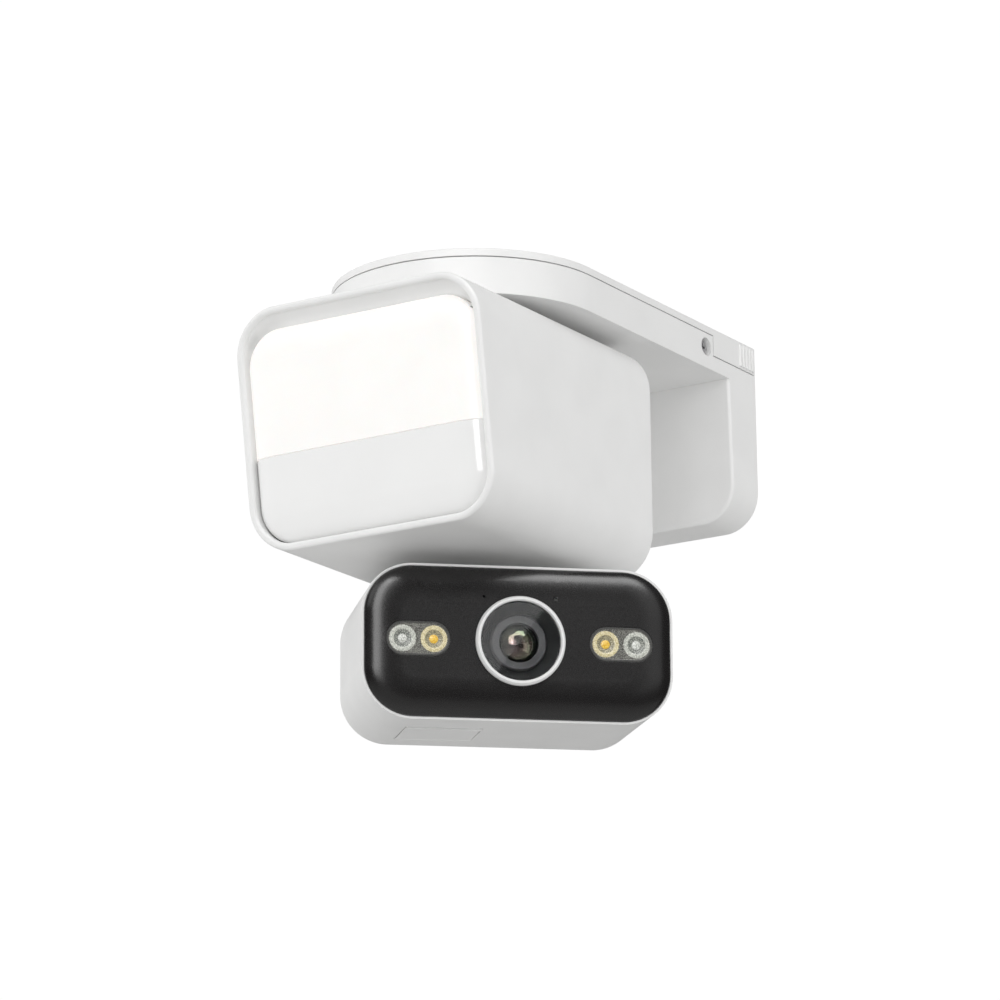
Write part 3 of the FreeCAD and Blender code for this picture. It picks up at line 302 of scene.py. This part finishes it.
def cell_wrap():
    look = Look("cell_wrap", IOR=1.5)
    look.rounded(0.4 * MM)
    band = look.node("TexWave", {"Vector": look.place}, {"Scale": 55.0, "Distortion": 0.4, "Detail": 1.0},
                     bands_direction="X").outputs["Fac"]
    look.colour(look.spread(band, 0.0, 1.0, 0.45, 0.55), (0.030, 0.075, 0.20), (0.038, 0.090, 0.23))
    look.feed("Roughness", look.spread(look.noise(2.0 * MM), 0.25, 0.40))
    look.bump(look.noise(5 * MM, 3.0), 0.08 * MM, 0.4)
    return look.material


def gear_plastic():
    look = Look("gear_plastic", IOR=1.48)
    look.rounded(0.15 * MM)
    fine = look.noise(0.5 * MM, 3.0)
    look.colour(look.spread(fine, 0.0, 1.0), (0.62, 0.58, 0.48), (0.68, 0.64, 0.54))
    look.feed("Roughness", look.spread(fine, 0.34, 0.46))
    look.bump(fine, 0.01 * MM, 0.5)
    return look.material


LOOKS = {
    "white_shell": shell_white(),
    "white_gloss": gloss_white(),
    "opal_cover": opal_cover(),
    "black_panel": black_panel(),
    "black_plastic": dark_plastic("black_plastic", (0.004, 0.004, 0.0045), (0.008, 0.008, 0.009)),
    "speaker_black": dark_plastic("speaker_black", (0.010, 0.010, 0.011), (0.018, 0.018, 0.019)),
    "seal_rubber": rubber("seal_rubber", (0.012, 0.012, 0.012), (0.022, 0.022, 0.022)),
    "grey_rubber": rubber("grey_rubber", (0.66, 0.66, 0.65), (0.71, 0.71, 0.70)),
    "clear_glass": window_glass(),
    "clear_cover": grid_cover(),
    "coated_lens": coated_lens(),
    "reflector": metal("reflector", (0.78, 0.78, 0.76), (0.86, 0.86, 0.84), 0.10, 0.18),
    "steel": metal("steel", (0.50, 0.50, 0.51), (0.62, 0.62, 0.63), 0.26, 0.42, (1.0, 1.0, 6.0)),
    "aluminium": metal("aluminium", (0.66, 0.67, 0.68), (0.74, 0.75, 0.76), 0.32, 0.46, (8.0, 1.0, 1.0)),
    "circuit": circuit(),
    "led_white": led("led_white", (0.85, 0.85, 0.74), (1.0, 1.0, 0.92), 0.25),
    "led_warm": led("led_warm", (0.88, 0.60, 0.10), (1.0, 0.72, 0.16), 0.45),
    "cell_wrap": cell_wrap(),
    "gear_plastic": gear_plastic(),
}
for row in frame["record"]["subparts"]:
    surface = NODES[row["node"]].data
    surface.materials.clear()
    surface.materials.append(LOOKS[row["material_slot"]])
BARREL_GREY = dark_plastic("barrel_grey", (0.050, 0.049, 0.051), (0.066, 0.064, 0.067))
NODES["lens_barrel"].data.materials[0] = BARREL_GREY


# ================================================================ spotlight covers
# The cup looks are partly the cups' own colours and partly painted reflection of the reflector cups and
# painted glow of the lamp chips; the lattice looks carry painted highlights.
COVER_LOOKS = (
    hatched("cover_edge", (0.055, 0.055, 0.052), (0.09, 0.09, 0.085), 0.25, 0.35).material,
    hatched("cover_lattice", (0.040, 0.038, 0.032), (0.30, 0.30, 0.27), 0.25, 0.40).material,
    hatched("cup_ring", (0.36, 0.37, 0.33), (0.78, 0.79, 0.72), 0.20, 0.30).material,
    hatched("cup_bowl", (0.09, 0.10, 0.09), (0.46, 0.47, 0.42), 0.20, 0.30).material,
    hatched("cup_middle", (0.40, 0.41, 0.37), (0.95, 0.96, 0.92), 0.15, 0.25).material,
    hatched("warm_ring", (0.52, 0.44, 0.22), (0.86, 0.80, 0.58), 0.20, 0.30).material,
    hatched("warm_bowl", (0.13, 0.12, 0.07), (0.55, 0.50, 0.33), 0.20, 0.30).material,
    hatched("warm_middle", (0.72, 0.36, 0.02), (0.98, 0.78, 0.16), 0.15, 0.25).material,
)
COVER_WIDE, COVER_HIGH = 22.2, 12.0     # outline of a cover
COVER_FRONT, COVER_BACK = -49.3, -47.9  # faces of a cover in the head's frame
COVER_BORDER = 0.75                     # plain border round the lattice
COVER_MIDDLE = 35.6                     # from the lens axis to the middle of a cover
CUP_APART = 5.45                        # from the middle of a cover to the middle of a cup
CUP_RING, CUP_BOWL, CUP_CHIP = 4.65, 3.15, 1.55   # outer radii of a cup's ring, bowl and lamp chip


def cover_depth(x, z, rim):
    """Depth of the cover's relief, in mm, at a point of the cover and at `rim` mm from its outline."""
    if rim < COVER_BORDER:
        return 0.05
    lattice = 0.5 + 0.5 * math.sin(math.pi * (x + z) / 0.62) * math.sin(math.pi * (x - z) / 0.62)
    from_cup = math.hypot(abs(x) - CUP_APART, z)
    if from_cup > CUP_RING:
        return 0.16 + 0.14 * lattice
    if from_cup > CUP_BOWL:
        across = (from_cup - CUP_BOWL) / (CUP_RING - CUP_BOWL)
        return 0.26 - 0.14 * math.sin(math.pi * across) + 0.08 * lattice
    if from_cup > CUP_CHIP:
        return 0.30 + 0.55 * (CUP_BOWL - from_cup) / (CUP_BOWL - CUP_CHIP) + 0.14 * lattice
    return 0.80 - 0.45 * math.cos(0.5 * math.pi * from_cup / CUP_CHIP) + 0.10 * lattice


def cover_zone(x, z, rim, warm_side):
    """Which of the cover's looks a point has."""
    from_cup = math.hypot(abs(x) - CUP_APART, z)
    if rim < COVER_BORDER:
        return 0
    if from_cup > CUP_RING:
        return 1
    first = 5 if x * warm_side > 0 else 2
    return first + (from_cup < CUP_BOWL) + (from_cup < CUP_CHIP)


def spot_covers():
    """Both spotlight covers: an opaque plate with a lattice relief, and the ringed lamp cups painted into its
    colour; the cups' rings, bowls and middles are partly their own colours and partly painted reflection of
    the reflector cups and painted glow of the lamp chips.
    """
    mesh = bmesh.new()
    columns, rows = 150, 80
    radius = COVER_HIGH / 2
    flat = COVER_WIDE / 2 - radius
    for side in (-1, 1):
        front, back = [], []
        for i in range(columns + 1):
            x = -COVER_WIDE / 2 * math.cos(math.pi * i / columns)
            beyond = max(0.0, abs(x) - flat)
            half = math.sqrt(max(0.0, radius ** 2 - beyond ** 2)) + 0.02
            line, rear = [], []
            for j in range(rows + 1):
                z = half * (2.0 * j / rows - 1.0)
                rim = radius - math.hypot(beyond, z)
                slope = 0.32 * max(0.0, (x * side - 2.0) / 9.0) ** 2
                y = COVER_FRONT + slope + cover_depth(x, z, rim)
                spot = Vector((side * COVER_MIDDLE + x, y, z)) * MM
                line.append(mesh.verts.new(HEAD @ spot))
                rear.append(mesh.verts.new(HEAD @ Vector((spot.x, COVER_BACK * MM, spot.z))))
            front.append(line)
            back.append(rear)
        for i in range(columns):
            for j in range(rows):
                corners = (front[i][j], front[i + 1][j], front[i + 1][j + 1], front[i][j + 1])
                face = mesh.faces.new(corners)
                middle = HEAD.inverted() @ face.calc_center_median() / MM
                x, z = middle.x - side * COVER_MIDDLE, middle.z
                rim = radius - math.hypot(max(0.0, abs(x) - flat), z)
                face.material_index = cover_zone(x, z, rim, -side)
                mesh.faces.new((back[i][j + 1], back[i + 1][j + 1], back[i + 1][j], back[i][j]))
            for j, order in ((0, 1), (rows, -1)):
                edge = (front[i][j], back[i][j], back[i + 1][j], front[i + 1][j])
                mesh.faces.new(edge[::order])
        for i, order in ((0, -1), (columns, 1)):
            for j in range(rows):
                edge = (front[i][j], back[i][j], back[i][j + 1], front[i][j + 1])
                mesh.faces.new(edge[::order])
    for face in mesh.faces:
        face.smooth = True
    shape = bpy.data.meshes.new("spot_covers")
    mesh.to_mesh(shape)
    mesh.free()
    for look in COVER_LOOKS:
        shape.materials.append(look)
    made = bpy.data.objects.new("spot_covers", shape)
    bpy.context.scene.collection.objects.link(made)
    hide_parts("spot_windows")
    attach(made, "camera_head")


spot_covers()


# ================================================================ cove of the floodlight's mouth
MOUTH_HALF, MOUTH_TOP, MOUTH_CORNER = 47.75, 17.95, 14.2
RIM_SLOPE = 0.1445                      # how far the rim slopes back per unit of height
COVE_REAR, COVE_REACH = 181.0, 12.5     # its rear end from the wall, and its length at the top
IN_WALL = 0.3                           # how far the piece reaches into the shell's wall
# Profile at the top of the mouth: depth from the wall, and inset from the mouth's outline.
COVE = ((193.4, 0.02), (192.4, 0.55), (191.5, 1.15), (190.7, 1.85), (190.1, 2.55), (189.7, 3.4),
        (189.5, 4.42), (COVE_REAR, 4.42))


def mouth_stations():
    """Points along the mouth's outline over its top, with the outward direction at each."""
    centre_x = MOUTH_HALF - MOUTH_CORNER
    centre_z = MOUTH_TOP - MOUTH_CORNER
    turns = [math.radians(90.0 * i / 24) for i in range(25)]
    right = [(centre_x + MOUTH_CORNER * math.cos(a), centre_z + MOUTH_CORNER * math.sin(a),
              math.cos(a), math.sin(a)) for a in turns]
    left = [(-x, z, -nx, nz) for x, z, nx, nz in reversed(right)]
    return right + left


def mouth_cove():
    """The shell's curved roof above the light cover, running out smoothly round both upper corners.

    `reach` is its length in depth; it shrinks down the sides because the rim slopes back."""
    mesh = bmesh.new()
    loops = []
    for x, z, nx, nz in mouth_stations():
        reach = COVE_REACH - (MOUTH_TOP - z) * RIM_SLOPE
        wall_x, wall_z = x + IN_WALL * nx, z + IN_WALL * nz
        loop = [mesh.verts.new(Vector((wall_x, -COVE_REAR - reach, wall_z)) * MM)]
        for depth, inset in COVE:
            y = -COVE_REAR - (depth - COVE_REAR) * reach / COVE_REACH
            inset = (inset + 0.08) * nz - 0.06
            loop.append(mesh.verts.new(Vector((x - inset * nx, y, z - inset * nz)) * MM))
        loop.append(mesh.verts.new(Vector((wall_x, -COVE_REAR, wall_z)) * MM))
        loops.append(loop)
    for first, second in zip(loops, loops[1:]):
        for i in range(len(first)):
            j = (i + 1) % len(first)
            face = mesh.faces.new((first[i], first[j], second[j], second[i]))
            face.smooth = True
    mesh.faces.new(loops[0][::-1])
    mesh.faces.new(loops[-1])
    bmesh.ops.recalc_face_normals(mesh, faces=mesh.faces)
    shape = bpy.data.meshes.new("mouth_cove")
    mesh.to_mesh(shape)
    mesh.free()
    shape.materials.append(LOOKS["white_shell"])
    made = bpy.data.objects.new("mouth_cove", shape)
    bpy.context.scene.collection.objects.link(made)
    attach(made, "light_body")


mouth_cove()


# ================================================================ stage
CAMERA_AT = Vector((0.920056, -1.572164, -0.514098))
CAMERA_RIGHT = Vector((0.84540599, 0.53399051, -0.01195178))
CAMERA_UP = Vector((0.15231906, -0.21958133, 0.96363009))
CAMERA_LENS = 180.835
CAMERA_SHIFT = (0.00649, -0.00128)
AIM = Vector((0.0, -0.11, -0.045))


def camera():
    made = bpy.data.objects.new("camera", bpy.data.cameras.new("camera"))
    bpy.context.scene.collection.objects.link(made)
    back = CAMERA_RIGHT.cross(CAMERA_UP)
    turn = Matrix((CAMERA_RIGHT, CAMERA_UP, back)).transposed().to_4x4()
    made.matrix_world = Matrix.Translation(CAMERA_AT) @ turn
    made.data.lens = CAMERA_LENS
    made.data.sensor_width = 36.0
    made.data.shift_x, made.data.shift_y = CAMERA_SHIFT
    made.data.clip_end = 50.0
    bpy.context.scene.camera = made


def softbox(name, at, width, height, power, diffuse=True, glossy=True):
    """Rectangular studio lamp aimed at the camera body."""
    lamp = bpy.data.lights.new(name, "AREA")
    lamp.shape = "RECTANGLE"
    lamp.size, lamp.size_y = width, height
    lamp.energy = power
    made = bpy.data.objects.new(name, lamp)
    bpy.context.scene.collection.objects.link(made)
    made.location = at
    made.rotation_euler = (AIM - Vector(at)).to_track_quat("-Z", "Y").to_euler()
    made.visible_diffuse = diffuse
    made.visible_glossy = glossy
    return made


def lens_card():
    """Card whose slanting edge is mirrored across the middle of the lens cover glass."""
    glass = HEAD @ Vector((0.0, -50.2 * MM, 0.0))
    turn = HEAD.to_3x3()
    facing = -turn.col[1]
    to_camera = (CAMERA_AT - glass).normalized()
    ray = 2.0 * facing.dot(to_camera) * facing - to_camera
    slant = math.radians(54.0)
    edge = turn.col[0] * math.cos(slant) + turn.col[2] * math.sin(slant)
    edge = (edge - edge.dot(ray) * ray).normalized()
    inward = ray.cross(edge)
    if inward.dot(turn.col[2] - turn.col[0]) < 0.0:
        inward = -inward
    made = softbox("lens_card", (0.0, 0.0, 0.0), 0.22, 0.12, 0.28, diffuse=False)
    centre = glass + 1.9 * ray + 0.06 * inward
    lie = Matrix((edge, ray.cross(edge), ray)).transposed().to_4x4()
    made.matrix_world = Matrix.Translation(centre) @ lie


def world(top, bottom, mirrored, seen):
    """Soft light from all round, weaker from below and dimmer where mirrored; the backdrop is plain white."""
    made = bpy.data.worlds.new("surroundings")
    bpy.context.scene.world = made
    made.use_nodes = True
    tree = made.node_tree
    tree.nodes.clear()
    place = tree.nodes.new("ShaderNodeTexCoord")
    split = tree.nodes.new("ShaderNodeSeparateXYZ")
    tree.links.new(place.outputs["Generated"], split.inputs["Vector"])
    slope = tree.nodes.new("ShaderNodeMapRange")
    slope.inputs["From Min"].default_value = -1.0
    slope.inputs["To Min"].default_value = bottom
    slope.inputs["To Max"].default_value = top
    tree.links.new(split.outputs["Z"], slope.inputs["Value"])
    path = tree.nodes.new("ShaderNodeLightPath")
    dim = tree.nodes.new("ShaderNodeMapRange")
    dim.inputs["To Min"].default_value = 1.0
    dim.inputs["To Max"].default_value = mirrored
    tree.links.new(path.outputs["Is Glossy Ray"], dim.inputs["Value"])
    both = tree.nodes.new("ShaderNodeMath")
    both.operation = "MULTIPLY"
    tree.links.new(slope.outputs["Result"], both.inputs[0])
    tree.links.new(dim.outputs["Result"], both.inputs[1])
    light = tree.nodes.new("ShaderNodeBackground")
    light.inputs["Color"].default_value = (1.0, 1.0, 1.0, 1.0)
    tree.links.new(both.outputs["Value"], light.inputs["Strength"])
    backdrop = tree.nodes.new("ShaderNodeBackground")
    backdrop.inputs["Color"].default_value = (1.0, 1.0, 1.0, 1.0)
    backdrop.inputs["Strength"].default_value = seen
    blend = tree.nodes.new("ShaderNodeMixShader")
    tree.links.new(path.outputs["Is Camera Ray"], blend.inputs["Fac"])
    tree.links.new(light.outputs["Background"], blend.inputs[1])
    tree.links.new(backdrop.outputs["Background"], blend.inputs[2])
    out = tree.nodes.new("ShaderNodeOutputWorld")
    tree.links.new(blend.outputs["Shader"], out.inputs["Surface"])


def floor():
    """A plain pale floor well below the wall bracket."""
    grid = bmesh.new()
    bmesh.ops.create_grid(grid, x_segments=8, y_segments=8, size=4.0)
    shape = bpy.data.meshes.new("floor")
    grid.to_mesh(shape)
    grid.free()
    made = bpy.data.objects.new("floor", shape)
    bpy.context.scene.collection.objects.link(made)
    made.location = (0.0, -2.0, -1.6)
    look = Look("floor_pale")
    look.colour(look.spread(look.noise(0.3, 3.0), 0.0, 1.0), (0.60, 0.60, 0.595), (0.63, 0.63, 0.625))
    look.feed("Roughness", look.spread(look.noise(0.05), 0.55, 0.65))
    shape.materials.append(look.material)


camera()
floor()
world(0.98, 0.12, 0.15, 1.02)
softbox("key_box", (-0.9, -1.9, 1.3), 1.4, 1.4, 9.0)
softbox("left_box", (-1.9, -1.0, 0.0), 1.2, 1.2, 13.0, glossy=False)
softbox("side_box", (2.0, -0.6, 0.6), 1.2, 1.6, 5.0)
softbox("low_box", (2.0, -0.3, -0.6), 1.2, 1.2, 8.0, glossy=False)
softbox("front_box", (0.85, -1.95, 0.1), 0.9, 0.9, 8.0, glossy=False)
softbox("front_strip", (0.5, -2.1, 0.75), 0.8, 1.9, 32.0, diffuse=False)
softbox("top_strip", (1.1, -1.0, 1.5), 1.8, 0.8, 34.0, diffuse=False)
lens_card()
bpy.context.scene.view_settings.view_transform = "Standard"

for row in frame["record"]["subparts"]:
    for face in NODES[row["node"]].data.polygons:
        face.use_smooth = True
